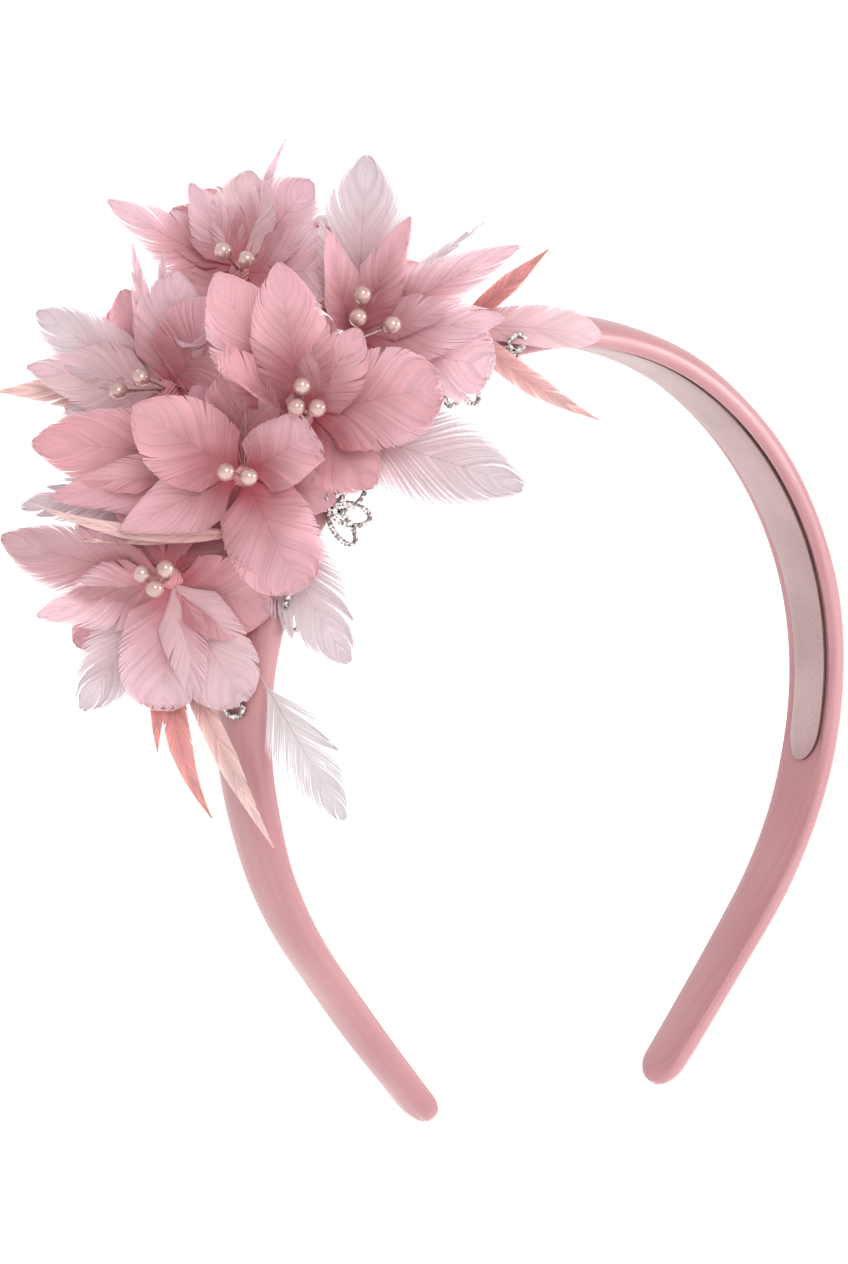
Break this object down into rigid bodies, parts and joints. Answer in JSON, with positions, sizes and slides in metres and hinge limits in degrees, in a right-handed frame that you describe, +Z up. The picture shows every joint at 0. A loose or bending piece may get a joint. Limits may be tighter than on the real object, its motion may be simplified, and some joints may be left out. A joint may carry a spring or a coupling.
{
  "type": "feather headband",
  "caption": "Padded satin headband with a side cluster of feather flowers, pearl stamens, narrow feather sprays and openwork rhinestone motifs, worn over the crown of the head.",
  "frame": {"origin": "underside of the lining at the crown, in the middle of the band, where it sits on the head", "axes": "+Z up, -Y to the front of the wearer, the feather cluster on the -X side"},
  "size_m": [0.1924, 0.0851, 0.2007],
  "materials": {
    "satin": "dusty rose satin with a soft sheen",
    "suede": "greyish pink suede cloth, matt",
    "rose_feather": "dusty rose goose feather, translucent at the tips",
    "coral_feather": "coral and peach narrow feather",
    "pearl": "pinkish cream imitation pearl",
    "rhinestone_silver": "silver wire set with small clear stones"
  },
  "bodies": {
    "root": {"band": "satin", "lining": "suede", "motif_1": "rhinestone_silver", "motif_2": "rhinestone_silver", "motif_3": "rhinestone_silver", "motif_4": "rhinestone_silver", "motif_5": "rhinestone_silver", "motif_6": "rhinestone_silver", "motif_7": "rhinestone_silver", "flower_1_pearl_1": "pearl", "flower_1_pearl_2": "pearl", "flower_1_pearl_3": "pearl", "flower_2_pearl_1": "pearl", "flower_2_pearl_2": "pearl", "flower_3_pearl_1": "pearl", "flower_3_pearl_2": "pearl", "flower_3_pearl_3": "pearl", "flower_4_pearl_1": "pearl", "flower_4_pearl_2": "pearl", "flower_5_pearl_1": "pearl", "flower_5_pearl_2": "pearl", "flower_5_pearl_3": "pearl", "flower_6_pearl_1": "pearl", "flower_6_pearl_2": "pearl", "flower_1": "rose_feather", "flower_2": "rose_feather", "flower_3": "rose_feather", "flower_4": "rose_feather", "flower_5": "rose_feather", "flower_6": "rose_feather", "spray_1": "coral_feather", "spray_2": "coral_feather", "spray_3": "coral_feather", "spray_4": "coral_feather"}
  },
  "joints": []
}
